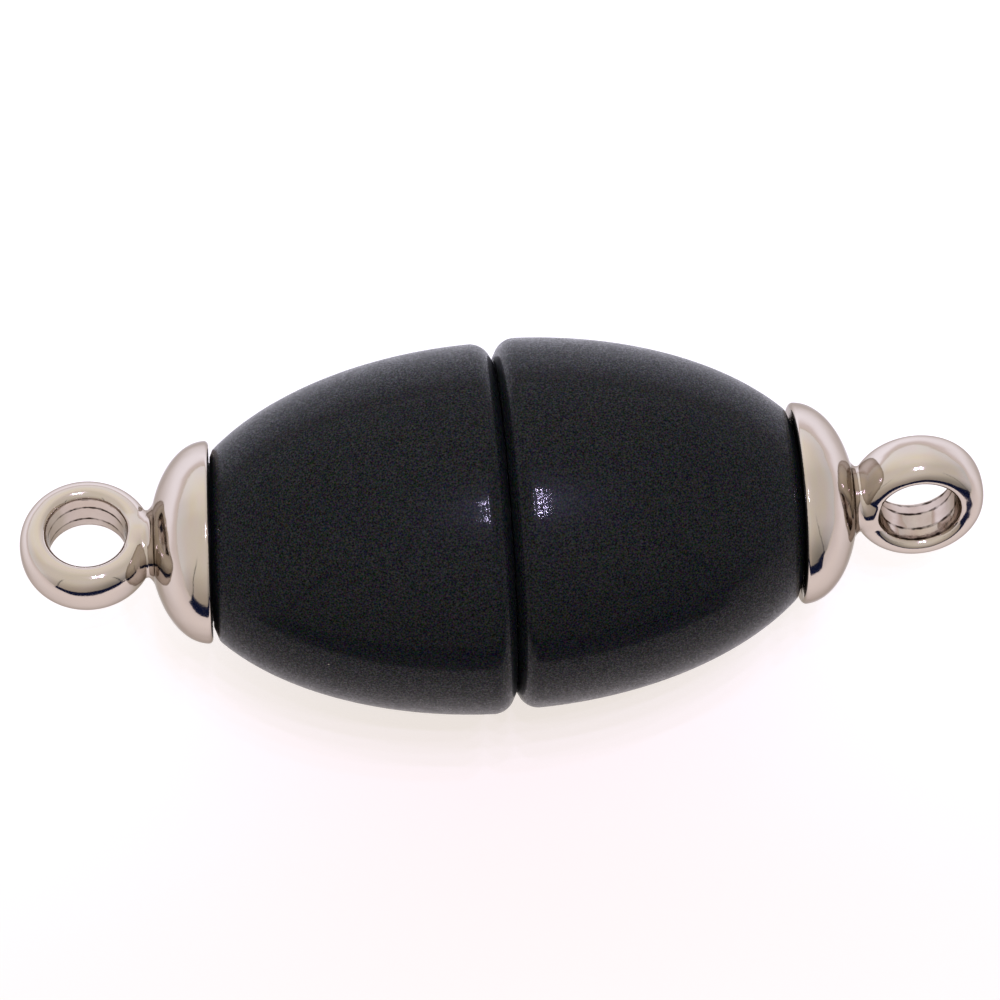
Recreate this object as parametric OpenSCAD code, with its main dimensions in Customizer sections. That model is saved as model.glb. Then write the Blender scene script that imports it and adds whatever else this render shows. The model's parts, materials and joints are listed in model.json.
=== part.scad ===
// Magnetic barrel clasp, lying closed on its side with its axis along X.
// Each half is one black resin shell with a disc magnet let into its face. A cast end cap's
// cup goes over the shell's spigot, and the cap's dome, neck and ring are one piece.

/* [Barrel] */
// Width of the whole oval that the barrel's wall is part of, a touch over the barrel's own
barrel_d = 12; // [11:0.25:13]
// Length of the whole oval that the barrel's wall is part of
oval_l = 21.25; // [20.5:0.25:23]
// Distance from the seam to the widest place of each half
belly_x = 0.2; // [0:0.05:0.4]
// Distance from the seam to the shell's crisp edge by the cap
shell_l = 9.3; // [9:0.05:9.4]

/* [Seam] */
// Gap between the two faces when the clasp is closed
seam_gap = 0.04; // [0.02:0.01:0.1]
// Radius of the rounded edge on each side of the seam
edge_round = 0.7; // [0.6:0.05:0.9]
// How far in degrees that edge turns before its crisp corner
edge_turn = 58; // [54:1:60]
// Distance from the seam to the crisp corner, half the width of the dark groove
groove_half_w = 0.15; // [0.1:0.01:0.25]
// Steepness in degrees of the groove's bevel below that corner
bevel_turn = 62; // [61:1:66]
// How far the two halves lie slipped past each other, 0 when they lie true
slip = 0.11; // [0:0.01:0.2]

/* [Magnet] */
// Diameter of the disc magnet
magnet_d = 7; // [5:0.5:8]
// Thickness of the disc magnet
magnet_t = 4; // [2:0.5:5]
// Chamfer on the magnet's two rims
magnet_chamfer = 0.15; // [0.1:0.05:0.3]
// Clearance that the glue fills, round the magnet and under the cap
glue_gap = 0.03; // [0.02:0.01:0.06]

/* [Cap seat] */
// How far the bevel at the cap goes in from the shell's crisp edge
seat_bevel_in = 0.34; // [0.28:0.02:0.4]
// Length of that bevel along the clasp
seat_bevel_l = 0.14; // [0.1:0.02:0.2]
// Width of the flat ledge that the cap's rim stands on
seat_w = 0.2; // [0.15:0.05:0.3]
// Length of the spigot that goes into the cap's cup
spigot_l = 0.8; // [0.5:0.1:0.9]
// How many degrees askew the left cap sits on its shell, 0 when it sits true
left_lean = 2.5; // [0:0.5:3]
// How far off the shell's axis the left cap sits
left_off = 0.2; // [0:0.02:0.2]

/* [End cap] */
// How far the cap's rim stands out past the shell's crisp edge
rim_proud = 0.18; // [0.1:0.02:0.3]
// Rounding of the rim's edge
rim_round = 0.15; // [0.1:0.01:0.2]
// Half of the length of the whole oval that the dome is part of
dome_h = 1.9; // [1.8:0.02:2]
// Distance from the rim's face to the dome's widest place
dome_start = 0.1; // [0.05:0.01:0.15]

/* [Neck] */
// Diameter of the neck
neck_d = 2; // [1.9:0.02:2.2]
// Radius of the hollow fillet where the neck leaves the dome
neck_fillet = 0.3; // [0.2:0.02:0.4]
// Rounding where the neck runs into the ring
neck_round = 0.35; // [0.2:0.05:0.5]

/* [Ring] */
// Outer diameter of the ring
ring_d = 4.34; // [4.2:0.02:4.5]
// How far the ring's outside is let in past the tip of the dome
ring_sink = 0.19; // [0.1:0.01:0.3]
// Width of the ring along its hole
ring_w = 1.9; // [1.8:0.05:2]
// Rounding of the ring's two outer edges
ring_round = 0.65; // [0.55:0.05:0.7]
// Diameter of the hole in the ring
hole_d = 2.5; // [2.3:0.05:2.6]
// Length of the straight wall in the middle of the hole
hole_land = 0.65; // [0.4:0.05:0.9]
// Diameter of the hole's two bevelled mouths
mouth_d = 2.76; // [2.7:0.02:2.9]
// Turn in degrees of the left ring about the clasp's axis, 0 with its hole upright
left_turn = -27; // [-180:1:180]
// Turn in degrees of the right ring about the clasp's axis
right_turn = 52; // [-180:1:180]

/* [Hidden] */
$fn = 96;

barrel_r = barrel_d / 2;
face_x = seam_gap / 2;

// Radius of the barrel's oval wall at a distance from the seam
function wall_y(x) = barrel_r * sqrt(1 - pow((x - belly_x) / (oval_l / 2), 2));

// Centre of the rounded edge at the seam, set a hair proud so that it meets the wall cleanly
hair = 0.002;
edge_x = groove_half_w + edge_round * sin(edge_turn);
edge_y = wall_y(edge_x) + hair - edge_round;
corner_y = edge_y + edge_round * cos(edge_turn);

// Height of the clasp's axis, with the barrel's widest place resting on the ground
axis_z = edge_y + edge_round;

// Foot of the groove's bevel, at the seam face
tip_y = corner_y - (groove_half_w - face_x) * tan(bevel_turn);

// Where the round is as steep as the bevel, and so stands furthest outside it
level_x = edge_x - edge_round * sin(bevel_turn);

// Foot of the bevel by the cap, the ledge for the cap's rim, and the spigot inside it
end_y = wall_y(shell_l);
seat_x = shell_l + seat_bevel_l;
seat_y = end_y - seat_bevel_in;
spigot_y = seat_y - seat_w;

rim_x = seat_x + glue_gap;
rim_y = end_y + rim_proud;
dome_x = rim_x + dome_start;
neck_y = neck_d / 2;
fillet_y = neck_y + neck_fillet;

// Where the neck's fillet ends on the neck. It starts a little under the dome's surface.
fillet_sink = 0.01;
fillet_x = dome_x + dome_h * sqrt(1 - pow(fillet_y / rim_y, 2)) + neck_fillet - fillet_sink;

// Distance from the seam to the middle of the ring
ring_x = dome_x + dome_h - ring_sink + ring_d / 2;

// Profiles hold the radius first and the distance from the seam second, so a lathe turns
// them about their second axis and lays that along X at the clasp's height.
module lathe() {
    translate([0, 0, axis_z]) rotate([0, 90, 0]) rotate_extrude() children();
}

// Area inside an oval whose middle is on the axis
module oval(x, half_w, half_l) {
    translate([0, x]) scale([half_w, half_l]) circle(r = 1);
}

// Area beyond a rounded edge whose centre is at [y, x], up to the given length
module past_round(y, x, radius, length) {
    translate([y, x]) circle(r = radius);
    square([y, length]);
    translate([0, x]) square([y + 2 * radius, length - x]);
}

// Area beyond the groove's bevel, whose line runs on well outside the wall
module past_groove() {
    far_x = face_x + (barrel_d - tip_y) / tan(bevel_turn);
    polygon([
        [0, face_x],
        [tip_y, face_x],
        [barrel_d, far_x],
        [barrel_d, oval_l],
        [0, oval_l]
    ]);
}

// Area of the shell inside its oval wall, its rounded edge and the groove's bevel
module wall_profile() {
    intersection() {
        oval(belly_x, barrel_r, oval_l / 2);
        union() {
            past_round(edge_y, edge_x, edge_round, oval_l);
            square([corner_y, level_x]);
        }
        past_groove();
    }
}

// Area that ends in the bevel by the cap, whose line runs on well outside the wall
module before_seat() {
    far_x = seat_x - (barrel_d - seat_y) * seat_bevel_l / seat_bevel_in;
    polygon([
        [0, -barrel_d],
        [barrel_d, -barrel_d],
        [barrel_d, far_x],
        [seat_y, seat_x],
        [0, seat_x]
    ]);
}

// Sets the seat, and the cap on it, askew and off the shell's axis
module seated(lean, off) {
    translate([shell_l, off, axis_z]) rotate([0, 0, lean]) translate([-shell_l, 0, -axis_z]) children();
}

module shell(lean, off) {
    color("#141414") difference() {
        union() {
            intersection() {
                lathe() wall_profile();
                seated(lean, off) lathe() before_seat();
            }
            seated(lean, off) lathe() translate([0, shell_l]) square([spigot_y, seat_bevel_l + spigot_l]);
        }
        lathe() square([magnet_d / 2 + glue_gap, face_x + magnet_t + glue_gap]);
    }
}

module magnet() {
    r = magnet_d / 2;
    c = magnet_chamfer;
    near = face_x;
    far = face_x + magnet_t;
    color("#b9b8b4") lathe()
        polygon([[0, near], [r - c, near], [r, near + c], [r, far - c], [r - c, far], [0, far]]);
}

// Area of the cap's dome and its rounded rim, filled to the axis
module dome_profile() {
    intersection() {
        oval(dome_x, rim_y, dome_h);
        past_round(rim_y - rim_round, rim_x + rim_round, rim_round, 2 * ring_x);
        translate([0, rim_x]) square([2 * rim_y, ring_d]);
    }
}

// Area of the neck, from inside the dome through its hollow fillet to a rounded end inside the ring
module neck_profile() {
    difference() {
        translate([0, rim_x]) square([fillet_y, fillet_x - rim_x]);
        translate([fillet_y, fillet_x]) circle(r = neck_fillet);
    }
    translate([neck_y - neck_round, fillet_x]) circle(r = neck_round);
    translate([0, rim_x]) square([neck_y - neck_round, fillet_x + neck_round - rim_x]);
}

// Section of the ring, with the radius from the hole's axis first
module ring_section() {
    outer = ring_d / 2;
    half = ring_w / 2;
    mid = outer - ring_round;
    difference() {
        union() {
            for (s = [-1, 1]) translate([mid, s * (half - ring_round)]) circle(r = ring_round);
            translate([0, -half]) square([mid, ring_w]);
            translate([0, ring_round - half]) square([outer, ring_w - 2 * ring_round]);
        }
        hole_section();
    }
}

// Section of the hole: a straight land between two cones that open to the mouths and run on past them
module hole_section() {
    land = hole_land / 2;
    r = hole_d / 2;
    end = ring_w / 2 + (ring_w - hole_land) / 2;
    wide = mouth_d - r;
    polygon([[0, -end], [wide, -end], [r, -land], [r, land], [wide, end], [0, end]]);
}

// Stands what it is given at the ring's centre, with the hole's axis turned about the clasp's axis
module ring_place(turn) {
    translate([ring_x, 0, axis_z]) rotate([turn, 0, 0]) children();
}

module end_cap(turn, lean, off) {
    color("#c9c4bd") seated(lean, off) difference() {
        union() {
            lathe() dome_profile();
            lathe() neck_profile();
            ring_place(turn) rotate_extrude() ring_section();
        }
        lathe() square([spigot_y + glue_gap, seat_x + spigot_l + glue_gap]);
        ring_place(turn) rotate_extrude() hole_section();
    }
}

module left() {
    translate([0, -slip / 2, 0]) mirror([1, 0, 0]) children();
}

module right() {
    translate([0, slip / 2, 0]) children();
}

module left_shell() { left() shell(left_lean, left_off); }
module left_magnet() { left() magnet(); }
module left_end_cap() { left() end_cap(left_turn, left_lean, left_off); }
module right_shell() { right() shell(0, 0); }
module right_magnet() { right() magnet(); }
module right_end_cap() { right() end_cap(right_turn, 0, 0); }

left_shell();
left_magnet();
left_end_cap();
right_shell();
right_magnet();
right_end_cap();
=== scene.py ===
import json
import math

import bpy
import numpy as np
from mathutils import Matrix, Vector


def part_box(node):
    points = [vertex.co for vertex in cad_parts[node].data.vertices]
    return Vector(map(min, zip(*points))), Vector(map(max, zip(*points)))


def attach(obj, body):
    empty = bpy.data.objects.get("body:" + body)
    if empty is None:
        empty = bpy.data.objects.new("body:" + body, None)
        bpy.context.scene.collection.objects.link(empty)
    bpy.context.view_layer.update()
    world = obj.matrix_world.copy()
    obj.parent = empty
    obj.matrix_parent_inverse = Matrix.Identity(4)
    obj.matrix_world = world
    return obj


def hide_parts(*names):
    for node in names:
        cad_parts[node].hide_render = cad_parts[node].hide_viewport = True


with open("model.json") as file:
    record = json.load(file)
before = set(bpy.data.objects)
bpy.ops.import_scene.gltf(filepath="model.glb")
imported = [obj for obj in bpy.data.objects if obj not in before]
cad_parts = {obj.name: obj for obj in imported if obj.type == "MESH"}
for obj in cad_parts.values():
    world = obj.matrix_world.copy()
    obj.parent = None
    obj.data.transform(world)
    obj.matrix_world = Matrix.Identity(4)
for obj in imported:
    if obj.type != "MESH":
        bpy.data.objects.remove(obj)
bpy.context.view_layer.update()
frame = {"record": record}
mm = 0.001
tiny = 1e-9                 # keeps a division away from 0

# Sizes read from the frame, in millimetres, with x counted from the seam outwards
shellLow, shellHigh = (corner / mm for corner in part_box("right_shell"))
magnetLow, magnetHigh = (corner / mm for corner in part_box("right_magnet"))
capLow, capHigh = (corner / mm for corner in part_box("right_end_cap"))
mounts = {mount["name"]: mount for mount in frame["record"]["mounts"]}
axisHeight = mounts["right_ring"]["pos_m"][2] / mm
ringX = mounts["right_ring"]["pos_m"][0] / mm
faceX = shellLow.x
slipY = (magnetLow.y + magnetHigh.y) / 2

# The two halves: side is 1 on the right, and the left cap sits askew (degrees) and off the axis (mm).
# Hand filing left the mouths of the two rings' holes with different radii and roundings (mm). A dark
# line of painted shade and dark reflection is drawn round each (mm, half its width), and more or less
# brown film of polish, with painted shade of the hole in it (0 to 1).
halves = {
    "left": {"side": -1, "body": "left_half", "magnetBody": "left_half", "lean": 2.5, "off": 0.2,
             "mouthR": 1.31, "mouthSoft": 0.25, "mouthLine": 0.024, "filmAndShade": 0.25},
    "right": {"side": 1, "body": "right_half", "magnetBody": "right_disc", "lean": 0.0, "off": 0.0,
              "mouthR": 1.33, "mouthSoft": 0.22, "mouthLine": 0.05, "filmAndShade": 0.5},
}
print("frame read: barrel", round(shellHigh.z - shellLow.z, 2), "mm across")


def linearFromHex(code):
    # sRGB hex to the linear colour that the shaders work in
    channels = [int(code[i:i + 2], 16) / 255 for i in (1, 3, 5)]
    return [c / 12.92 if c <= 0.04045 else ((c + 0.055) / 1.055) ** 2.4 for c in channels] + [1.0]


def addNode(tree, kind, settings=None, **inputs):
    # adds one node, sets its options, then fills or links its inputs, where _2 is input number 2
    node = tree.nodes.new(kind)
    for key, value in (settings or {}).items():
        setattr(node, key, value)
    for name, value in inputs.items():
        number = name[1:]
        socket = node.inputs[int(number) if number.isdigit() else name.replace("_", " ")]
        if isinstance(value, bpy.types.NodeSocket):
            tree.links.new(value, socket)
        else:
            socket.default_value = value
    return node


# options that several nodes share, and the span that most values of a noise texture lie in
smooth = {"interpolation_type": "SMOOTHSTEP"}
colours = {"data_type": "RGBA"}
noiseLow, noiseHigh = 0.3, 0.7


def newMaterial(name):
    material = bpy.data.materials.new(name)
    material.use_nodes = True
    material.node_tree.nodes.clear()
    return material, material.node_tree


# Moulded black resin, tumbled to a satin skin: deep black face on, soft grey at the edges, with a
# fine mottling of faint colours where the tumbling opened the skin
resin = {
    "pale": "#202527",      # colour of the mottling's pale places
    "mottle": 0.055,        # mm, coarser than the real skin so that it shows
    "mottleColour": 0.65,   # how far the mottling leaves plain grey
    "mottleContrast": 4.4,
    "mottleStart": 1.75,    # taken off after that, so that the darkest places are black
    "roughness": 0.31,
    "ior": 1.5,
    "specular": 0.05,
    "sheen": "#e9edfa",     # colour of the skin's own shine
    "hazeSize": 0.5,        # mm, cloudy patches left by tumbling
    "hazeDepth": 0.05,      # how far they change the roughness
    "skinGrain": 0.06,      # mm
    "skinHeight": 0.0011,   # mm
    "gloss": 0.48,          # flecks of polish on the grain's high spots, which break up the glints
    "glossFrom": 0.46,      # height in the grain where they start
    "glossFull": 0.64,      # and where they are full
    "glossRoughness": 0.055,
    "dust": "#8a8578",
    "dustSize": 1.5,        # mm between the specks of dust
    "dustReach": 0.045,     # their size, as a share of that
    "dustFree": 0.86,       # share of the places that have none
}


def satinResin():
    material, tree = newMaterial("mouldedResinSatin")
    place = addNode(tree, "ShaderNodeTexCoord").outputs["Object"]
    haze = addNode(tree, "ShaderNodeTexNoise", None, Vector=place, Scale=1 / (resin["hazeSize"] * mm),
                   Detail=4.0, Roughness=0.6)
    rough = addNode(tree, "ShaderNodeMapRange", None, Value=haze.outputs["Fac"],
                    From_Min=noiseLow, From_Max=noiseHigh,
                    To_Min=resin["roughness"] - resin["hazeDepth"],
                    To_Max=resin["roughness"] + resin["hazeDepth"])
    grain = addNode(tree, "ShaderNodeTexNoise", None, Vector=place, Scale=1 / (resin["skinGrain"] * mm),
                    Detail=3.0, Roughness=0.6)
    bump = addNode(tree, "ShaderNodeBump", None, Strength=1.0, Distance=resin["skinHeight"] * mm,
                   Height=grain.outputs["Fac"])
    gloss = addNode(tree, "ShaderNodeMapRange", None, Value=grain.outputs["Fac"],
                    From_Min=resin["glossFrom"], From_Max=resin["glossFull"],
                    To_Min=0.0, To_Max=resin["gloss"])
    mottle = addNode(tree, "ShaderNodeTexNoise", None, Vector=place, Scale=1 / (resin["mottle"] * mm),
                     Detail=1.0, Roughness=0.5)
    tinged = addNode(tree, "ShaderNodeMix", colours, _0=resin["mottleColour"],
                     _6=mottle.outputs["Fac"], _7=mottle.outputs["Color"])
    spread = addNode(tree, "ShaderNodeVectorMath", {"operation": "MULTIPLY_ADD"}, _0=tinged.outputs[2],
                     _1=[resin["mottleContrast"]] * 3, _2=[-resin["mottleStart"]] * 3)
    share = addNode(tree, "ShaderNodeVectorMath", {"operation": "MAXIMUM"}, _0=spread.outputs[0],
                    _1=(0.0, 0.0, 0.0))
    pale = addNode(tree, "ShaderNodeVectorMath", {"operation": "MULTIPLY"}, _0=share.outputs[0],
                   _1=linearFromHex(resin["pale"])[:3])
    # a speck of dust in a few of the cells
    cells = addNode(tree, "ShaderNodeTexVoronoi", {"feature": "F1"}, Vector=place,
                    Scale=1 / (resin["dustSize"] * mm))
    pick = addNode(tree, "ShaderNodeSeparateColor", None, Color=cells.outputs["Color"])
    chosen = addNode(tree, "ShaderNodeMath", {"operation": "GREATER_THAN"}, _0=pick.outputs[0],
                     _1=resin["dustFree"])
    near = addNode(tree, "ShaderNodeMath", {"operation": "LESS_THAN"}, _0=cells.outputs["Distance"],
                   _1=resin["dustReach"])
    dusty = addNode(tree, "ShaderNodeMath", {"operation": "MULTIPLY"}, _0=chosen.outputs[0],
                    _1=near.outputs[0])
    colour = addNode(tree, "ShaderNodeMix", colours, _0=dusty.outputs[0], _6=pale.outputs[0],
                     _7=linearFromHex(resin["dust"]))
    skin = addNode(tree, "ShaderNodeBsdfPrincipled", None, Base_Color=colour.outputs[2],
                   Roughness=rough.outputs["Result"], IOR=resin["ior"],
                   Specular_IOR_Level=resin["specular"], Specular_Tint=linearFromHex(resin["sheen"]),
                   Coat_Tint=linearFromHex(resin["sheen"]), Coat_Weight=gloss.outputs["Result"],
                   Coat_Roughness=resin["glossRoughness"],
                   Normal=bump.outputs["Normal"], Coat_Normal=bump.outputs["Normal"])
    addNode(tree, "ShaderNodeOutputMaterial", None, Surface=skin.outputs["BSDF"])
    return material


# The cast cap, in millimetres: dome, neck and ring run into each other, so they are meshed as one skin
cap = {
    "domeStart": 0.1,       # the dome's widest place, from the rim's face
    "domeHalf": 1.9,        # half length of the dome's oval
    "rimRound": 0.15,
    "cupDepth": 0.8,        # the cup over the shell's spigot
    "cupGap": 0.03,         # its clearance round the spigot
    "neckR": 1.0,
    "neckFillet": 0.36,     # where the neck leaves the dome
    "ringFillet": 0.12,     # where it runs into the ring
    "ringR": 2.17,
    "ringHalf": 0.95,       # half the ring's width
    "ringRound": 0.65,      # how far in the outside's rounding reaches
    "ringFull": 2.4,        # its fullness: 2 is an oval, more is squarer
    "cell": 0.046,          # size of the skin's mesh
    "margin": 2.3,          # cells left free round the casting
}

# Cast brass, hand polished and plated with nickel: a warm grey mirror that swells a little where
# the cast did, with thin dark lines of painted shade and dark reflection along the hole's edges, and a
# brown film of polish, with painted shade, in the hole and round the neck
plate = {
    "colour": "#cbc3bb",
    "edgeColour": "#b4aea6",  # seen along the skin, where this metal stays darker
    "roughness": 0.09,
    "castSwell": 1.1,       # mm between the swells
    "swellHeight": 0.05,    # mm
    "buffLine": 0.09,       # mm between buffing marks, coarser than the real ones
    "buffHeight": 0.0005,   # mm
    "paintedEdgeShade": "#2a211d",   # painted shade and dark reflection along the hole's edges
    "landLine": 0.05,       # mm, half width of the lines beside the hole's straight wall
    "lineFull": 0.4,        # half widths out to which a line is full
    "lineGone": 1.5,        # and where it has ended
    "wander": 1.0,          # half widths that their edges wander at most
    "wanderSize": 0.25,     # mm from one wander to the next
    "spots": 0.35,          # mm from one faint place of the lines to the next
    "spotsFrom": 0.35,      # noise at which they are faintest
    "spotsFull": 0.55,      # and at which they are full
    "faintest": 0.3,
    "filmAndShade": "#947c6c",      # thin film of polish in the hole and round the neck, with the painted shade of those hollows
    "filmAndShadeThinnest": 0.7,    # how thin its clouds get, as a share
    "filmAndShadeEdge": 0.08,       # mm over which it ends at the hole's mouth
    "neckFilmAndShade": 0.05,       # how thick it is round the neck
    "neckFilmAndShadeR": 1.5,       # mm, how far it reaches from the axis there
    "neckFilmAndShadeHalf": 0.75,   # mm, and along it
    "neckFilmAndShadeEdge": 0.3,    # mm over which it ends there
}


def platedBrass():
    material, tree = newMaterial("castBrassNickelPlated")
    place = addNode(tree, "ShaderNodeTexCoord").outputs["Object"]
    swell = addNode(tree, "ShaderNodeTexNoise", None, Vector=place, Scale=1 / (plate["castSwell"] * mm),
                    Detail=1.0, Roughness=0.4)
    swellBump = addNode(tree, "ShaderNodeBump", None, Strength=1.0, Distance=plate["swellHeight"] * mm,
                        Height=swell.outputs["Fac"])
    buff = addNode(tree, "ShaderNodeTexNoise", None, Vector=place, Scale=1 / (plate["buffLine"] * mm),
                   Detail=2.0, Roughness=0.5)
    buffBump = addNode(tree, "ShaderNodeBump", None, Strength=1.0, Distance=plate["buffHeight"] * mm,
                       Height=buff.outputs["Fac"], Normal=swellBump.outputs["Normal"])
    # painted dark lines of shade and dark reflection where the hole's bevels meet its wall and the
    # ring's faces
    ragged = addNode(tree, "ShaderNodeTexNoise", None, Vector=place,
                     Scale=1 / (plate["wanderSize"] * mm), Detail=2.0)
    wander = addNode(tree, "ShaderNodeMath", {"operation": "MULTIPLY_ADD"}, _0=ragged.outputs["Fac"],
                     _1=2 * plate["wander"], _2=-plate["wander"])
    lines = []
    for key in ("fromMouth", "fromLand"):
        away = addNode(tree, "ShaderNodeAttribute", {"attribute_name": key}).outputs["Fac"]
        reach = addNode(tree, "ShaderNodeMath", {"operation": "ADD"}, _0=away, _1=wander.outputs[0])
        lines.append(addNode(tree, "ShaderNodeMapRange", smooth, Value=reach.outputs[0],
                             From_Min=plate["lineFull"], From_Max=plate["lineGone"],
                             To_Min=1.0, To_Max=0.0).outputs["Result"])
    either = addNode(tree, "ShaderNodeMath", {"operation": "MAXIMUM"}, _0=lines[0], _1=lines[1])
    spots = addNode(tree, "ShaderNodeTexNoise", None, Vector=place, Scale=1 / (plate["spots"] * mm),
                    Detail=2.0)
    come = addNode(tree, "ShaderNodeMapRange", None, Value=spots.outputs["Fac"],
                   From_Min=plate["spotsFrom"], From_Max=plate["spotsFull"],
                   To_Min=plate["faintest"], To_Max=1.0)
    paintedLineShade = addNode(tree, "ShaderNodeMath", {"operation": "MULTIPLY"}, _0=either.outputs[0],
                   _1=come.outputs["Result"])
    filmAndShade = addNode(tree, "ShaderNodeAttribute", {"attribute_name": "filmAndShade"}).outputs["Fac"]
    cloudy = addNode(tree, "ShaderNodeMapRange", None, Value=spots.outputs["Fac"],
                     From_Min=noiseLow, From_Max=noiseHigh, To_Min=plate["filmAndShadeThinnest"], To_Max=1.0)
    filmAndShadeAmount = addNode(tree, "ShaderNodeMath", {"operation": "MULTIPLY"}, _0=filmAndShade,
                     _1=cloudy.outputs["Result"])
    # the brown film of polish, which also paints the shade in the hole and round the neck
    clean = addNode(tree, "ShaderNodeMix", colours, _0=filmAndShadeAmount.outputs[0],
                    _6=linearFromHex(plate["colour"]), _7=linearFromHex(plate["filmAndShade"]))
    # the lines' painted shade and dark reflection, laid over the metal and its film
    colour = addNode(tree, "ShaderNodeMix", colours, _0=paintedLineShade.outputs[0], _6=clean.outputs[2],
                     _7=linearFromHex(plate["paintedEdgeShade"]))
    metal = addNode(tree, "ShaderNodeBsdfPrincipled", None, Base_Color=colour.outputs[2],
                    Metallic=1.0, Roughness=plate["roughness"],
                    Specular_Tint=linearFromHex(plate["edgeColour"]), Normal=buffBump.outputs["Normal"])
    addNode(tree, "ShaderNodeOutputMaterial", None, Surface=metal.outputs["BSDF"])
    return material


# Sintered magnet, nickel plated in a barrel: duller and yellower than the caps, with fine scuffs
nickel = {
    "colour": "#b9b5ab",
    "roughness": 0.28,
    "scuffSize": 0.4,       # mm
    "scuffDepth": 0.1,      # how far the scuffs change the roughness
}


def platedMagnet():
    material, tree = newMaterial("neodymiumNickelPlated")
    place = addNode(tree, "ShaderNodeTexCoord").outputs["Object"]
    scuff = addNode(tree, "ShaderNodeTexNoise", None, Vector=place, Scale=1 / (nickel["scuffSize"] * mm),
                    Detail=6.0, Roughness=0.7)
    rough = addNode(tree, "ShaderNodeMapRange", None, Value=scuff.outputs["Fac"],
                    From_Min=noiseLow, From_Max=noiseHigh,
                    To_Min=nickel["roughness"] - nickel["scuffDepth"],
                    To_Max=nickel["roughness"] + nickel["scuffDepth"])
    metal = addNode(tree, "ShaderNodeBsdfPrincipled", None, Base_Color=linearFromHex(nickel["colour"]),
                    Metallic=1.0, Roughness=rough.outputs["Result"])
    addNode(tree, "ShaderNodeOutputMaterial", None, Surface=metal.outputs["BSDF"])
    return material


materials = {"resin": satinResin(), "plate": platedBrass(), "nickel": platedMagnet()}
print("materials made:", len(materials))


def arc(centre, radius, fromDeg, toDeg, steps):
    # points of an arc in the profile's plane, as (x, r, 0), which are left as they are when softened
    angles = np.radians(np.linspace(fromDeg, toDeg, steps))
    return [(centre[0] + radius * math.cos(a), centre[1] + radius * math.sin(a), 0) for a in angles]


def bent(start, corner, end, steps):
    # points of a rounded corner
    shares = np.linspace(0, 1, steps)
    return [(1 - t) ** 2 * start + 2 * t * (1 - t) * corner + t ** 2 * end for t in shares]


def softened(corners, steps=4):
    # a profile of (x, r, size), with each corner that has a size rounded by that much
    points = []
    for i, (x, r, size) in enumerate(corners):
        if not size:
            points.append(np.array([x, r]))
            continue
        here = np.array([x, r])
        before = np.array(corners[i - 1][:2]) - here
        after = np.array(corners[i + 1][:2]) - here
        start = here + before / np.linalg.norm(before) * size
        end = here + after / np.linalg.norm(after) * size
        points += bent(start, here, end, steps)
    return np.array(points)


def finishPiece(name, verts, faces, half, material, body, normals=None, marks=None):
    # Makes the mesh from millimetres in the half's own frame, with the axis along x and the seam at 0,
    # and stands it in the shared frame. The marks are values at its points that the material reads.
    side = halves[half]["side"]
    verts = verts * [side, 1, 1] + [0, side * slipY, axisHeight]
    if side < 0:
        faces = [face[::-1] for face in faces]
    mesh = bpy.data.meshes.new(name)
    mesh.from_pydata((verts * mm).tolist(), [], faces)
    mesh.polygons.foreach_set("use_smooth", [True] * len(mesh.polygons))
    if normals is not None:
        normals = normals * [side, 1, 1]
        if side < 0:
            normals = normals[:, ::-1]
        mesh.normals_split_custom_set(normals.reshape(-1, 3).tolist())
    for key, values in (marks or {}).items():
        mesh.attributes.new(key, "FLOAT", "POINT").data.foreach_set("value", values)
    mesh.materials.append(materials[material])
    piece = bpy.data.objects.new(name, mesh)
    bpy.context.scene.collection.objects.link(piece)
    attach(piece, body)
    return piece


def turnedRing(x, r, segments):
    # one ring of points round the axis
    angles = np.linspace(0, 2 * math.pi, segments, endpoint=False)
    return np.column_stack([np.full(segments, x), r * np.cos(angles), r * np.sin(angles)])


def skinRings(rings):
    # joins rings of points, from the middle of one end to the middle of the other
    segments = len(rings[0])
    verts = np.vstack(rings + [rings[0].mean(axis=0), rings[-1].mean(axis=0)])
    here = np.arange(segments)
    ahead = np.roll(here, -1)
    faces = []
    for i in range(len(rings) - 1):
        a, b = i * segments, (i + 1) * segments
        faces += np.column_stack([a + here, a + ahead, b + ahead, b + here]).tolist()
    last = (len(rings) - 1) * segments
    start = np.full(segments, len(verts) - 2)
    faces += np.column_stack([start, ahead, here]).tolist()
    faces += np.column_stack([last + here, last + ahead, start + 1]).tolist()
    return verts, faces


def keepFlatsFlat(piece):
    keep = piece.modifiers.new("flat faces stay flat", "WEIGHTED_NORMAL")
    keep.weight = 100       # the highest, so that only the largest faces count


# The resin shell, turned about the axis apart from its seat under the cap, in millimetres
shell = {
    "ovalWidth": 6.0,       # half width of the wall's oval
    "ovalLength": 10.625,   # half length of it
    "belly": 0.2,           # the widest place, from the seam
    "edgeRound": 0.7,       # rounding at the seam
    "edgeTurn": 58,         # degrees that it turns before the crisp corner
    "grooveHalf": 0.15,     # the crisp corner, from the seam
    "bevelTurn": 62,        # degrees, steepness of the groove's bevel
    "endX": 9.3,            # the crisp edge by the cap
    "seatIn": 0.34,         # the bevel by the cap, inwards
    "seatLength": 0.14,     # and along
    "ledge": 0.2,           # width of the ledge under the cap's rim
    "cornerSoft": 0.025,    # wear on the crisp corners
    "glueGap": 0.03,        # clearance round the magnet
    "seekBefore": 0.6,      # how far before the crisp edge an askew seat is looked for
    "seekAfter": 0.4,       # and after it
    "halvings": 40,
    "roundSteps": 24,
    "wallSteps": 90,
    "segments": 288,
}


def wallR(x):
    # radius of the shell's wall
    return shell["ovalWidth"] * np.sqrt(1 - ((x - shell["belly"]) / shell["ovalLength"]) ** 2)


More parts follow.
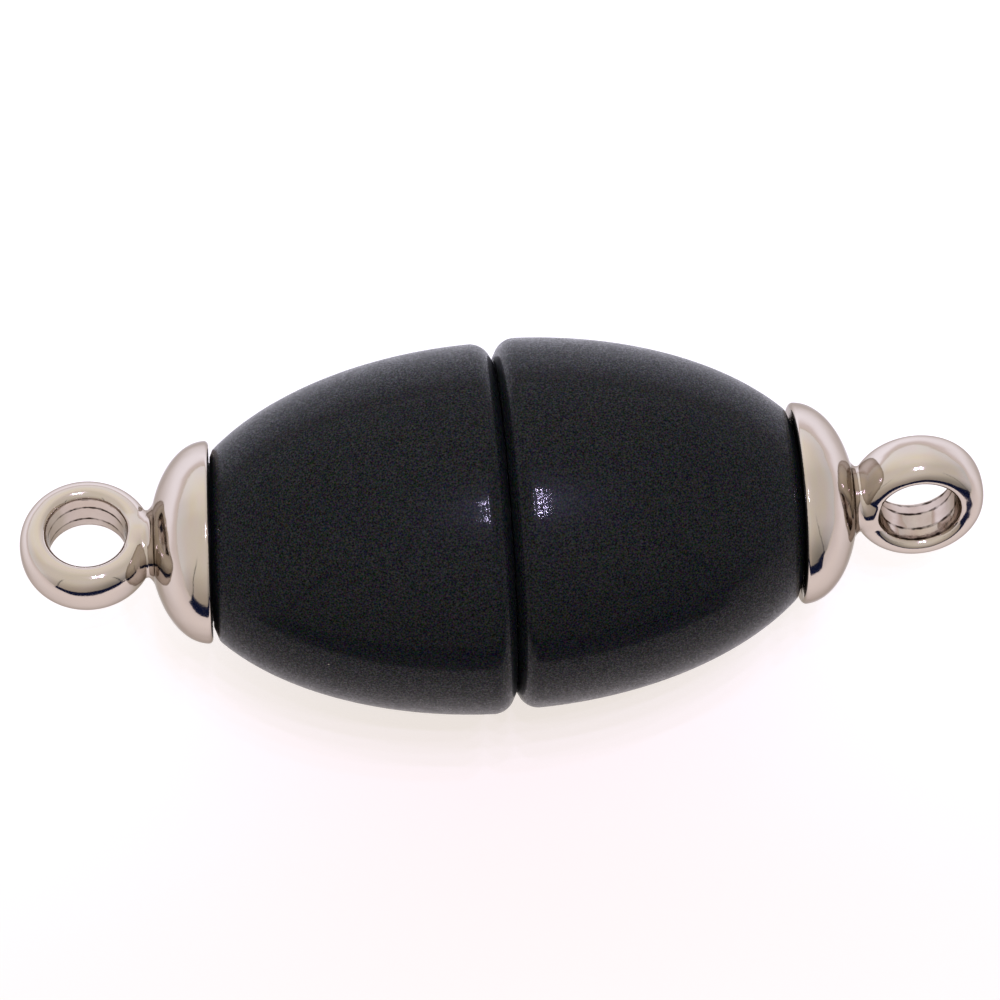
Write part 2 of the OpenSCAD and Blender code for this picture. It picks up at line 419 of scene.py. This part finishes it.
def seated(points, half, back=False):
    # sets points askew with the half's seat, or takes them back to true
    lean, off = math.radians(halves[half]["lean"]), halves[half]["off"]
    turn = np.array(Matrix.Rotation(lean, 3, "Z"))
    pivot = np.array([shell["endX"], 0, 0])
    shift = np.array([0, off, 0])
    if back:
        return (points - pivot - shift) @ turn + pivot
    return (points - pivot) @ turn.T + pivot + shift


def seamProfile():
    # from the pocket for the magnet, over the seam face and the groove, to the end of the round
    s = shell
    turn = math.radians(s["edgeTurn"])
    edgeX = s["grooveHalf"] + s["edgeRound"] * math.sin(turn)
    edgeR = wallR(edgeX) - s["edgeRound"]
    cornerR = edgeR + s["edgeRound"] * math.cos(turn)
    tipR = cornerR - (s["grooveHalf"] - faceX) * math.tan(math.radians(s["bevelTurn"]))
    pocketR = (magnetHigh.z - magnetLow.z) / 2 + s["glueGap"]
    pocketX, soft = magnetHigh.x + s["glueGap"], s["cornerSoft"]
    over = arc((edgeX, edgeR), s["edgeRound"], 90 + s["edgeTurn"], 90, s["roundSteps"])[1:]
    return softened([(pocketX, 0, 0), (pocketX, pocketR, soft), (faceX, pocketR, soft),
                     (faceX, tipR, soft), (s["grooveHalf"], cornerR, soft), *over])[1:]


def seatR(x):
    # radius of the cone that the bevel by the cap is part of
    s = shell
    foot = wallR(s["endX"]) - s["seatIn"]
    return foot + (s["endX"] + s["seatLength"] - x) * s["seatIn"] / s["seatLength"]


def mouldShell(half):
    s = shell
    profile = seamProfile()
    rings = [turnedRing(x, r, s["segments"]) for x, r in profile]
    angles = np.linspace(0, 2 * math.pi, s["segments"], endpoint=False)

    def onWall(x):
        r = wallR(x)
        return np.column_stack([x, r * np.cos(angles), r * np.sin(angles)])

    # where the wall meets the seat's bevel, found by halving
    near = np.full(s["segments"], s["endX"] - s["seekBefore"])
    far = np.full(s["segments"], s["endX"] + s["seekAfter"])
    for _ in range(s["halvings"]):
        middle = (near + far) / 2
        p = seated(onWall(middle), half, back=True)
        outside = np.hypot(p[:, 1], p[:, 2]) > seatR(p[:, 0])
        near, far = np.where(outside, near, middle), np.where(outside, middle, far)
    start, soft = profile[-1][0], s["cornerSoft"]
    for t in np.linspace(0, 1, s["wallSteps"])[1:-1]:
        rings.append(onWall(start + (near - 2 * soft - start) * t))
    crisp = onWall(near)
    p = seated(crisp, half, back=True)
    turned = np.arctan2(p[:, 2], p[:, 1])

    def onSeat(x, r):
        ring = np.column_stack([np.full(len(turned), x), r * np.cos(turned), r * np.sin(turned)])
        return seated(ring, half)

    # the worn edge between wall and bevel, then the ledge and the spigot
    footX = s["endX"] + s["seatLength"]
    foot = onSeat(footX, seatR(footX))
    before, after = onWall(near - 2 * soft), crisp + (foot - crisp) * 2 * soft / s["seatIn"]
    rings += bent(before, crisp, after, 5)
    inner = seatR(footX) - s["ledge"]
    spigot = softened([(footX - soft, seatR(footX) + soft, 0), (footX, seatR(footX), soft / 2),
                       (footX, inner, soft / 2), (shellHigh.x, inner, soft), (shellHigh.x, 0, 0)])
    rings += [onSeat(x, r) for x, r in spigot[1:-1]]
    verts, faces = skinRings(rings)
    piece = finishPiece(half + "ShellResin", verts, faces, half, "resin", halves[half]["body"])
    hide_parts(half + "_shell")
    keepFlatsFlat(piece)


# The disc magnet, let in flush with the seam face, in millimetres
magnet = {"chamfer": 0.15, "chamferSoft": 0.03, "segments": 192}


def pressMagnet(half):
    r, c, soft = (magnetHigh.z - magnetLow.z) / 2, magnet["chamfer"], magnet["chamferSoft"]
    near, far = magnetLow.x, magnetHigh.x
    profile = softened([(near, 0, 0), (near, r - c, soft), (near + c, r, soft), (far - c, r, soft),
                        (far, r - c, soft), (far, 0, 0)])[1:-1]
    verts, faces = skinRings([turnedRing(x, r, magnet["segments"]) for x, r in profile])
    piece = finishPiece(half + "MagnetDisc", verts, faces, half, "nickel", halves[half]["magnetBody"])
    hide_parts(half + "_magnet")
    keepFlatsFlat(piece)


def roundUnion(a, b, radius):
    # joins two solids with a hollow fillet
    u, v = np.maximum(radius - a, 0), np.maximum(radius - b, 0)
    return np.maximum(radius, np.minimum(a, b)) - np.hypot(u, v)


def roundCommon(a, b, radius):
    # what two solids share, with a rounded edge
    u, v = np.maximum(radius + a, 0), np.maximum(radius + b, 0)
    return np.minimum(-radius, np.maximum(a, b)) + np.hypot(u, v)


def capDistance(p, half, holeAxis, holeR, holeLand):
    # distance to the casting's skin in mm, below 0 inside the metal
    c = cap
    x, r = p[:, 0], np.hypot(p[:, 1], p[:, 2])
    domeX, rimR = capLow.x + c["domeStart"], (capHigh.z - capLow.z) / 2
    # the dome is half an oval, cut off at the rim's face, and the neck grows out of it
    ux, ur = (x - domeX) / c["domeHalf"], r / rimR
    reach = np.hypot(ux, ur)
    slope = np.hypot(ux / c["domeHalf"], ur / rimR)
    dome = reach * (reach - 1) / np.maximum(slope, tiny)
    dome = roundCommon(dome, capLow.x - x, c["rimRound"])
    neck = np.maximum(r - c["neckR"], np.maximum(domeX - x, x - ringX))
    body = roundUnion(dome, neck, c["neckFillet"])
    # the ring has a flat inside and an oval outside
    out, along = holePlace(p, holeAxis)
    n, a, b = c["ringFull"], c["ringRound"], c["ringHalf"]
    u, v = np.maximum(out - (c["ringR"] - a), 0) / a, along / b
    reach = np.maximum((u ** n + v ** n) ** (1 / n), tiny)
    slope = np.hypot((u / reach) ** (n - 1) / a, (v / reach) ** (n - 1) / b)
    ring = (reach - 1) / np.maximum(slope, tiny)
    body = roundUnion(body, ring, c["ringFillet"])
    # the hole is a straight wall between two cones, and the cup goes over the shell's spigot
    flare = (halves[half]["mouthR"] - holeR) / (c["ringHalf"] - holeLand / 2)
    hole = out - holeR - flare * np.maximum(along - holeLand / 2, 0)
    body = roundCommon(body, -hole, halves[half]["mouthSoft"])
    cupR = seatR(shell["endX"] + shell["seatLength"]) - shell["ledge"] + c["cupGap"]
    cup = np.maximum(r - cupR, x - capLow.x - c["cupDepth"])
    return np.maximum(body, -cup)


def holePlace(p, holeAxis):
    # how far points are from the hole's axis, and how far along it from the ring's middle
    fromRing = p - [ringX, 0, 0]
    along = np.abs(fromRing @ holeAxis)
    return np.sqrt(np.maximum((fromRing ** 2).sum(axis=1) - along ** 2, 0)), along


def slopeOf(distance, p, step=0.001):
    # direction in which the distance grows fastest, which is the skin's normal, over a step in mm
    parts = [distance(p + shift) - distance(p - shift) for shift in np.eye(3) * step]
    grad = np.column_stack(parts)
    return grad / np.maximum(np.linalg.norm(grad, axis=1, keepdims=True), tiny)


def skinOf(distance, low, high, cell, pull=0.05, inset=0.3):
    # Meshes the zero of a distance. Each cell that the skin passes gets one point, set where the
    # planes of its crossings meet, so that crisp edges stay crisp. Quads join the points. The pull
    # draws a point lightly to the middle of its crossings, so that a flat cell has one too.
    counts = np.ceil((np.array(high) - low) / cell).astype(int) + 1
    grids = [low[i] + cell * np.arange(counts[i]) for i in range(3)]
    nodes = np.stack(np.meshgrid(*grids, indexing="ij"), axis=-1).reshape(-1, 3)
    parts = np.array_split(nodes, 16)  # read in parts, which needs less memory
    values = np.concatenate([distance(part) for part in parts]).reshape(counts)
    inside = values < 0
    strides = np.array([counts[1] * counts[2], counts[2], 1])
    crossings, normals, cells, quads = [], [], [], []
    for axis in range(3):
        lowPart = [slice(None)] * 3
        highPart = [slice(None)] * 3
        lowPart[axis], highPart[axis] = slice(0, -1), slice(1, None)
        found = np.argwhere(inside[tuple(lowPart)] != inside[tuple(highPart)])
        ahead = found.copy()
        ahead[:, axis] += 1
        a, b = values[tuple(found.T)], values[tuple(ahead.T)]
        share = a / (a - b)
        start = np.array(low) + cell * found
        for _ in range(2):  # two corrections bring a crossing onto the skin
            point = start.copy()
            point[:, axis] += share * cell
            share = np.clip(share - distance(point) / (b - a), 0, 1)
        point = start.copy()
        point[:, axis] += share * cell
        crossings.append(point)
        normals.append(slopeOf(distance, point))
        s, t = strides[(axis + 1) % 3], strides[(axis + 2) % 3]
        home = found @ strides
        around = np.column_stack([home, home - s, home - s - t, home - t])
        cells.append(around)
        leaving = inside[tuple(found.T)]
        quads.append(np.where(leaving[:, None], around, around[:, ::-1]))
    point, normal = np.vstack(crossings), np.vstack(normals)
    cellOf = np.vstack(cells)
    used, index = np.unique(cellOf, return_inverse=True)
    index = index.reshape(cellOf.shape)
    number = len(used)

    def gathered(amount):
        # sums an amount of each crossing over the four cells round it
        return sum(np.bincount(index[:, k], weights=amount, minlength=number) for k in range(4))

    share = gathered(np.ones(len(point)))
    middle = np.column_stack([gathered(point[:, i]) for i in range(3)]) / share[:, None]
    height = (point * normal).sum(axis=1)
    matrix = np.empty((number, 3, 3))
    for i in range(3):
        for j in range(3):
            matrix[:, i, j] = gathered(normal[:, i] * normal[:, j])
    target = np.column_stack([gathered(normal[:, i] * height) for i in range(3)])
    matrix += pull * np.eye(3)
    verts = np.linalg.solve(matrix, (target + pull * middle)[:, :, None])[:, :, 0]
    verts = np.clip(verts, middle - cell, middle + cell)
    faces = np.searchsorted(used, np.vstack(quads))
    # each corner's normal is read a little inside its own face, by the inset, so that edges stay crisp
    corners = verts[faces]
    inward = corners + inset * (corners.mean(axis=1, keepdims=True) - corners)
    cornerNormals = slopeOf(distance, inward.reshape(-1, 3)).reshape(-1, 4, 3)
    return verts, faces, cornerNormals


def castCap(half):
    mount = mounts[half + "_ring"]
    side, lean = halves[half]["side"], math.radians(halves[half]["lean"])
    turn = np.array(Matrix.Rotation(lean, 3, "Z"))
    holeAxis = (np.array(mount["axis"]) * [side, 1, 1]) @ turn
    holeR, holeLand = mount["dims"]["r_mm"], mount["dims"]["length_mm"]

    def distance(p):
        return capDistance(p, half, holeAxis, holeR, holeLand)

    margin = cap["margin"] * cap["cell"]
    rimR = (capHigh.z - capLow.z) / 2
    low = [capLow.x - margin, -rimR - margin, -rimR - margin]
    high = [capHigh.x + margin, rimR + margin, rimR + margin]
    verts, faces, normals = skinOf(distance, low, high, cap["cell"])
    # how far each point lies from the hole's mouth and from the ends of its straight wall, and the film
    # of polish and painted shade on it
    out, along = holePlace(verts, holeAxis)
    mouth = np.hypot(out - halves[half]["mouthR"], along - cap["ringHalf"] + halves[half]["mouthSoft"])
    land = np.hypot(out - holeR, along - holeLand / 2)
    filmAndShade, edge = plate["filmAndShadeEdge"], plate["neckFilmAndShadeEdge"]
    onWall = np.clip((halves[half]["mouthR"] + filmAndShade / 2 - out) / filmAndShade, 0, 1) * (along < cap["ringHalf"])
    r, neckX = np.hypot(verts[:, 1], verts[:, 2]), ringX - cap["ringR"]
    onNeck = np.clip((plate["neckFilmAndShadeR"] - r) / edge, 0, 1)
    onNeck *= np.clip((plate["neckFilmAndShadeHalf"] - np.abs(verts[:, 0] - neckX)) / edge, 0, 1)
    marks = {"fromMouth": mouth / halves[half]["mouthLine"], "fromLand": land / plate["landLine"],
             "filmAndShade": np.maximum(onWall * halves[half]["filmAndShade"], onNeck * plate["neckFilmAndShade"])}
    piece = finishPiece(half + "CapCasting", seated(verts, half), faces.tolist(), half, "plate",
                        halves[half]["body"], normals @ turn.T, marks)
    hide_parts(half + "_end_cap")
    print(half, "cap cast with", len(faces), "faces")


for half in halves:
    mouldShell(half)
    pressMagnet(half)
    castCap(half)

# Floor: a sheet of white paper with a painted glow, brighter behind the clasp and dimmer in front of it
# and out of the picture, so that only the shadow under the clasp shows
sheet = {
    "half": 1.5,            # m
    "colour": "#bcbcc2",    # what it gives back of the tent's light, less the painted glow
    "glowFront": "#c3b8aa",  # painted glow in front of the clasp, dimmer and warmer as painted shade
    "glowBack": "#eceef8",  # and behind it, brighter as painted light
    "turnOver": 0.03,       # m, over which the one turns to the other
    "glowFar": "#a89c90",   # and out of the picture, dimmer: painted shade that shows in the clasp's reflections
    "fadeFrom": 0.021,      # m from the clasp, where it starts to turn to that
    "fadeTo": 0.07,         # m
    "fibre": 0.15,          # mm
    "fibreHeight": 0.01,    # mm
    "fibreShown": 0.1,      # share of that height that the light shows
    "roughness": 0.9,
}


def flatSheet(name, corners, material):
    # one flat face, with its corners in metres
    mesh = bpy.data.meshes.new(name)
    mesh.from_pydata(corners, [], [(0, 1, 2, 3)])
    mesh.materials.append(material)
    piece = bpy.data.objects.new(name, mesh)
    bpy.context.scene.collection.objects.link(piece)
    return piece


def paperFloor():
    material, tree = newMaterial("whitePaperSheet")
    place = addNode(tree, "ShaderNodeTexCoord").outputs["Object"]
    fibre = addNode(tree, "ShaderNodeTexNoise", None, Vector=place, Scale=1 / (sheet["fibre"] * mm),
                    Detail=2.0)
    bump = addNode(tree, "ShaderNodeBump", None, Strength=sheet["fibreShown"],
                   Distance=sheet["fibreHeight"] * mm, Height=fibre.outputs["Fac"])
    parts = addNode(tree, "ShaderNodeSeparateXYZ", None, Vector=place)
    # the painted glow: dimmer in front of the clasp, brighter behind it, dimmer out of the picture
    behind = addNode(tree, "ShaderNodeMapRange", smooth, Value=parts.outputs["Y"],
                     From_Min=-sheet["turnOver"] / 2, From_Max=sheet["turnOver"] / 2)
    near = addNode(tree, "ShaderNodeMix", colours, _0=behind.outputs["Result"],
                   _6=linearFromHex(sheet["glowFront"]), _7=linearFromHex(sheet["glowBack"]))
    away = addNode(tree, "ShaderNodeVectorMath", {"operation": "LENGTH"}, _0=place)
    gone = addNode(tree, "ShaderNodeMapRange", smooth, Value=away.outputs["Value"],
                   From_Min=sheet["fadeFrom"], From_Max=sheet["fadeTo"])
    glow = addNode(tree, "ShaderNodeMix", colours, _0=gone.outputs["Result"], _6=near.outputs[2],
                   _7=linearFromHex(sheet["glowFar"]))
    skin = addNode(tree, "ShaderNodeBsdfPrincipled", None, Base_Color=linearFromHex(sheet["colour"]),
                   Roughness=sheet["roughness"], Specular_IOR_Level=0.0, Normal=bump.outputs["Normal"],
                   Emission_Color=glow.outputs[2], Emission_Strength=1.0)
    addNode(tree, "ShaderNodeOutputMaterial", None, Surface=skin.outputs["BSDF"])
    s = sheet["half"]
    floor = flatSheet("floorSheet", [(-s, -s, 0), (s, -s, 0), (s, s, 0), (-s, s, 0)], material)


paperFloor()
print("floor laid")

# Camera: nearly straight above, with the right end a little farther away
view = {
    "elevation": 84.0,      # degrees above the floor
    "aside": 2.8,           # degrees towards the left end
    "slope": 4.07,          # degrees that the clasp rises to the right in the picture
    "distance": 178.0,      # mm from the clasp's middle
    "scale": 30.92,         # pixels a millimetre at the clasp's middle
    "frame": 1000,          # pixels along a side
    "middleAt": (503.7, 525.9),  # where the clasp's middle lands in the picture
    "sensor": 36.0,         # mm
    "clipNear": 0.01,       # m
    "clipFar": 20.0,        # m
}


def placeCamera():
    data = bpy.data.cameras.new("photoView")
    data.sensor_width = view["sensor"]
    data.lens = view["scale"] * view["distance"] / view["frame"] * view["sensor"]
    data.clip_start, data.clip_end = view["clipNear"], view["clipFar"]
    camera = bpy.data.objects.new("photoView", data)
    bpy.context.scene.collection.objects.link(camera)
    e, a, slope = (math.radians(view[key]) for key in ("elevation", "aside", "slope"))
    back = Vector((-math.sin(a), -math.cos(e) * math.cos(a), math.sin(e) * math.cos(a)))
    along = (Vector((1, 0, 0)) - back * back.x).normalized()
    across = back.cross(along)
    right = along * math.cos(slope) - across * math.sin(slope)
    up = along * math.sin(slope) + across * math.cos(slope)
    half = view["frame"] / 2
    toRight = (half - view["middleAt"][0]) / view["scale"]
    toTop = (view["middleAt"][1] - half) / view["scale"]
    place = Vector((0, 0, axisHeight)) + right * toRight + up * toTop + back * view["distance"]
    turn = Matrix((right, up, back)).transposed()
    camera.matrix_world = Matrix.Translation(place * mm) @ turn.to_4x4()
    bpy.context.scene.camera = camera
    return back, along, across


towardsCamera, alongPicture, acrossPicture = placeCamera()

# Light: a pale tent all round, open in front towards a dimmer room, and small lamps. A place in the
# tent is a direction of length 1 from the clasp, with X to the right, Y backwards and Z up.
light = {
    "overhead": "#fff6ed",
    "overheadStrength": 0.89,
    "horizon": "#f8f5fa",
    "horizonStrength": 0.97,
    "clothTurn": 0.55,      # height by which the cloth has turned to its overhead colour
    "tint": 0.7,            # patches of colour in the cloth
    "patches": 2.4,         # about how many there are from the middle to the edge
    "rightShade": 0.12,     # how much dimmer the right side is
    "rightFull": 0.7,       # where that is full
    "backLift": 0.26,       # how much brighter the back is
    "backFrom": 0.25,       # where that starts
    "backFull": 0.9,        # and where it is full
    "frontLeft": "#b5a695",  # the dimmer room that shows through the open front, on the left
    "frontRight": "#7d7468",  # and on the right
    "turnFrom": -0.4,       # where the left colour starts to turn to the right one
    "turnTo": 0.6,          # and where it has
    "frontShade": 0.9,      # how much of the room shows through
    "frontFull": -0.9,      # where it shows most
    "frontGone": -0.2,      # and where it has ended
    "frontTop": 1.1,        # how high it reaches
    "openingEdge": "#20242c",
    "openingWide": 0.016,   # half width of the dark edges of the tent's opening
    "openingFull": 0.5,     # share of that width that is fully dark
    "openingLow": (0.657, -0.75, -0.07),   # a low place on the opening's right edge
    "openingHigh": (0.577, -0.412, 0.69),  # and a high one
    "edgeFrom": -0.3,       # where the edges start
    "edgeFull": -0.45,      # and where they are fully dark
    "room": "#101a3c",      # the dark floor of the room, in front and low
    "roomFrom": -0.3,       # where it starts
    "roomTop": 0.11,        # how high it stands above the horizon, as a slope
    "roomSide": 1.0,        # how far it reaches to each side, as a slope
    "lampsUp": 12.0,        # degrees that the lamps' middle stands above the line of sight
    "lampsAside": 6.0,      # degrees to the right of it
    # degrees aside and up from there, a column on the left and one on the right
    "lampsAt": [(-3.6, -6), (-3.3, -1), (-3.9, 4),
                (4.3, -7), (4.9, -3.5), (4.2, 0), (4.8, 3.5), (4.5, 7)],
    "lampAway": 220.0,      # mm from the clasp
    "lampWide": 3.2,        # mm
    "lampWatts": 0.026,
    "lampColour": "#dccfff",
}


def lightTent():
    world = bpy.data.worlds.new("paleTent")
    bpy.context.scene.world = world
    world.use_nodes = True
    tree = world.node_tree
    tree.nodes.clear()
    place = addNode(tree, "ShaderNodeTexCoord").outputs["Generated"]
    parts = addNode(tree, "ShaderNodeSeparateXYZ", None, Vector=place)
    # the cloth
    height = addNode(tree, "ShaderNodeMapRange", smooth, Value=parts.outputs["Z"],
                     From_Min=0.0, From_Max=light["clothTurn"])
    plain = addNode(tree, "ShaderNodeMix", colours, _0=height.outputs["Result"],
                    _6=linearFromHex(light["horizon"]), _7=linearFromHex(light["overhead"]))
    patches = addNode(tree, "ShaderNodeTexNoise", None, Vector=place, Scale=light["patches"], Detail=2.0)
    cloth = addNode(tree, "ShaderNodeMix", {**colours, "blend_type": "SOFT_LIGHT"}, _0=light["tint"],
                    _6=plain.outputs[2], _7=patches.outputs["Color"])
    # the room through its open front
    opened = addNode(tree, "ShaderNodeMapRange", smooth, Value=parts.outputs["Y"],
                     From_Min=light["frontFull"], From_Max=light["frontGone"],
                     To_Min=light["frontShade"], To_Max=0.0)
    below = addNode(tree, "ShaderNodeMapRange", smooth, Value=parts.outputs["Z"],
                    From_Min=0.0, From_Max=light["frontTop"], To_Min=1.0, To_Max=0.0)
    shade = addNode(tree, "ShaderNodeMath", {"operation": "MULTIPLY"}, _0=opened.outputs["Result"],
                    _1=below.outputs["Result"])
    sideways = addNode(tree, "ShaderNodeMapRange", smooth, Value=parts.outputs["X"],
                       From_Min=light["turnFrom"], From_Max=light["turnTo"])
    front = addNode(tree, "ShaderNodeMix", colours, _0=sideways.outputs["Result"],
                    _6=linearFromHex(light["frontLeft"]), _7=linearFromHex(light["frontRight"]))
    colour = addNode(tree, "ShaderNodeMix", colours, _0=shade.outputs[0], _6=cloth.outputs[2],
                     _7=front.outputs[2])
    # the opening's two dark edges, each where a plane through the clasp cuts the tent
    ahead = addNode(tree, "ShaderNodeMapRange", None, Value=parts.outputs["Y"],
                    From_Min=light["edgeFrom"], From_Max=light["edgeFull"])
    for side in (-1, 1):
        low, high = (Vector(light[key]) * Vector((side, 1, 1)) for key in ("openingLow", "openingHigh"))
        across = addNode(tree, "ShaderNodeVectorMath", {"operation": "DOT_PRODUCT"}, _0=place,
                         _1=low.cross(high).normalized())
        near = addNode(tree, "ShaderNodeMath", {"operation": "ABSOLUTE"}, _0=across.outputs["Value"])
        line = addNode(tree, "ShaderNodeMapRange", smooth, Value=near.outputs[0],
                       From_Min=light["openingWide"] * light["openingFull"],
                       From_Max=light["openingWide"], To_Min=1.0, To_Max=0.0)
        mask = addNode(tree, "ShaderNodeMath", {"operation": "MULTIPLY"}, _0=line.outputs["Result"],
                       _1=ahead.outputs["Result"])
        colour = addNode(tree, "ShaderNodeMix", colours, _0=mask.outputs[0], _6=colour.outputs[2],
                         _7=linearFromHex(light["openingEdge"]))
    # the room's dark floor: forward enough, low enough and narrow enough
    rise = addNode(tree, "ShaderNodeMath", {"operation": "MULTIPLY_ADD"}, _0=parts.outputs["Y"],
                   _1=light["roomTop"], _2=parts.outputs["Z"])
    wide = addNode(tree, "ShaderNodeMath", {"operation": "ABSOLUTE"}, _0=parts.outputs["X"])
    reach = addNode(tree, "ShaderNodeMath", {"operation": "MULTIPLY_ADD"}, _0=parts.outputs["Y"],
                    _1=light["roomSide"], _2=wide.outputs[0])
    within = None
    for value, limit in ((parts.outputs["Y"], light["roomFrom"]), (rise.outputs[0], 0.0),
                         (reach.outputs[0], 0.0)):
        under = addNode(tree, "ShaderNodeMath", {"operation": "LESS_THAN"}, _0=value, _1=limit)
        within = under if within is None else addNode(tree, "ShaderNodeMath", {"operation": "MULTIPLY"},
                                                      _0=within.outputs[0], _1=under.outputs[0])
    colour = addNode(tree, "ShaderNodeMix", colours, _0=within.outputs[0], _6=colour.outputs[2],
                     _7=linearFromHex(light["room"]))
    # how bright it is all round
    behind = addNode(tree, "ShaderNodeMapRange", smooth, Value=parts.outputs["Y"],
                     From_Min=light["backFrom"], From_Max=light["backFull"],
                     To_Min=1.0, To_Max=1 + light["backLift"])
    right = addNode(tree, "ShaderNodeMapRange", smooth, Value=parts.outputs["X"],
                    From_Min=0.0, From_Max=light["rightFull"],
                    To_Min=1.0, To_Max=1 - light["rightShade"])
    lift = addNode(tree, "ShaderNodeMath", {"operation": "MULTIPLY"}, _0=behind.outputs["Result"],
                   _1=right.outputs["Result"])
    strength = addNode(tree, "ShaderNodeMapRange", None, Value=height.outputs["Result"],
                       To_Min=light["horizonStrength"], To_Max=light["overheadStrength"])
    total = addNode(tree, "ShaderNodeMath", {"operation": "MULTIPLY"}, _0=lift.outputs[0],
                    _1=strength.outputs["Result"])
    shine = addNode(tree, "ShaderNodeBackground", None, Color=colour.outputs[2],
                    Strength=total.outputs[0])
    addNode(tree, "ShaderNodeOutputWorld", None, Surface=shine.outputs["Background"])


def smallLamps():
    for number, (aside, up) in enumerate(light["lampsAt"]):
        lamp = bpy.data.lights.new("smallLamp" + str(number), "AREA")
        lamp.shape = "DISK"
        lamp.size = light["lampWide"] * mm
        lamp.energy = light["lampWatts"]
        lamp.color = linearFromHex(light["lampColour"])[:3]
        holder = bpy.data.objects.new(lamp.name, lamp)
        bpy.context.scene.collection.objects.link(holder)
        rise = math.tan(math.radians(light["lampsUp"] + up))
        shift = math.tan(math.radians(light["lampsAside"] + aside))
        towards = (towardsCamera + acrossPicture * rise + alongPicture * shift).normalized()
        place = (Vector((0, 0, axisHeight)) + towards * light["lampAway"]) * mm
        turn = towards.to_track_quat("Z", "Y").to_matrix().to_4x4()
        holder.matrix_world = Matrix.Translation(place) @ turn


# A dark blue sheet beyond the paper that paints a dark reflection in the clasp, as a line low in front;
# the camera, diffuse light and shadows don't see it
darkReflectionSheet = {
    "near": 45.0,           # mm in front of the clasp
    "far": 1490.0,          # mm
    "above": 0.1,           # mm above the paper
    "leftNear": 52.0,       # degrees that its near edge reaches to the left
    "leftFar": 45.0,        # and its far edge
    "right": 42.0,          # degrees that both reach to the right
    "colour": "#101a3c",
    "darkest": 0.6,         # share of that colour in the grain's dark places
    "lightest": 1.5,        # and in its light ones
    "grain": 0.5,           # mm
    "roughness": 0.7,
}


def paintDarkReflection():
    material, tree = newMaterial("paintedDarkReflectionBlue")
    place = addNode(tree, "ShaderNodeTexCoord").outputs["Object"]
    grain = addNode(tree, "ShaderNodeTexNoise", None, Vector=place, Scale=1 / (darkReflectionSheet["grain"] * mm),
                    Detail=3.0)
    deep = linearFromHex(darkReflectionSheet["colour"])[:3]
    dark, pale = ([darkReflectionSheet[key] * c for c in deep] + [1.0] for key in ("darkest", "lightest"))
    shade = addNode(tree, "ShaderNodeMix", colours, _0=grain.outputs["Fac"], _6=dark, _7=pale)
    skin = addNode(tree, "ShaderNodeBsdfPrincipled", None, Base_Color=shade.outputs[2],
                   Roughness=darkReflectionSheet["roughness"], Specular_IOR_Level=0.0)
    addNode(tree, "ShaderNodeOutputMaterial", None, Surface=skin.outputs["BSDF"])
    near, far, above = (darkReflectionSheet[key] * mm for key in ("near", "far", "above"))
    leftNear, leftFar, right = (math.tan(math.radians(darkReflectionSheet[key]))
                                for key in ("leftNear", "leftFar", "right"))
    corners = [(-far * leftFar, -far, above), (far * right, -far, above),
               (near * right, -near, above), (-near * leftNear, -near, above)]
    edge = flatSheet("darkReflectionSheet", corners, material)
    # seen only in glossy reflections, where it paints the dark line
    edge.visible_camera = edge.visible_diffuse = edge.visible_shadow = False


lightTent()
smallLamps()
paintDarkReflection()
bpy.context.scene.view_settings.view_transform = "Standard"
print("camera and light set")
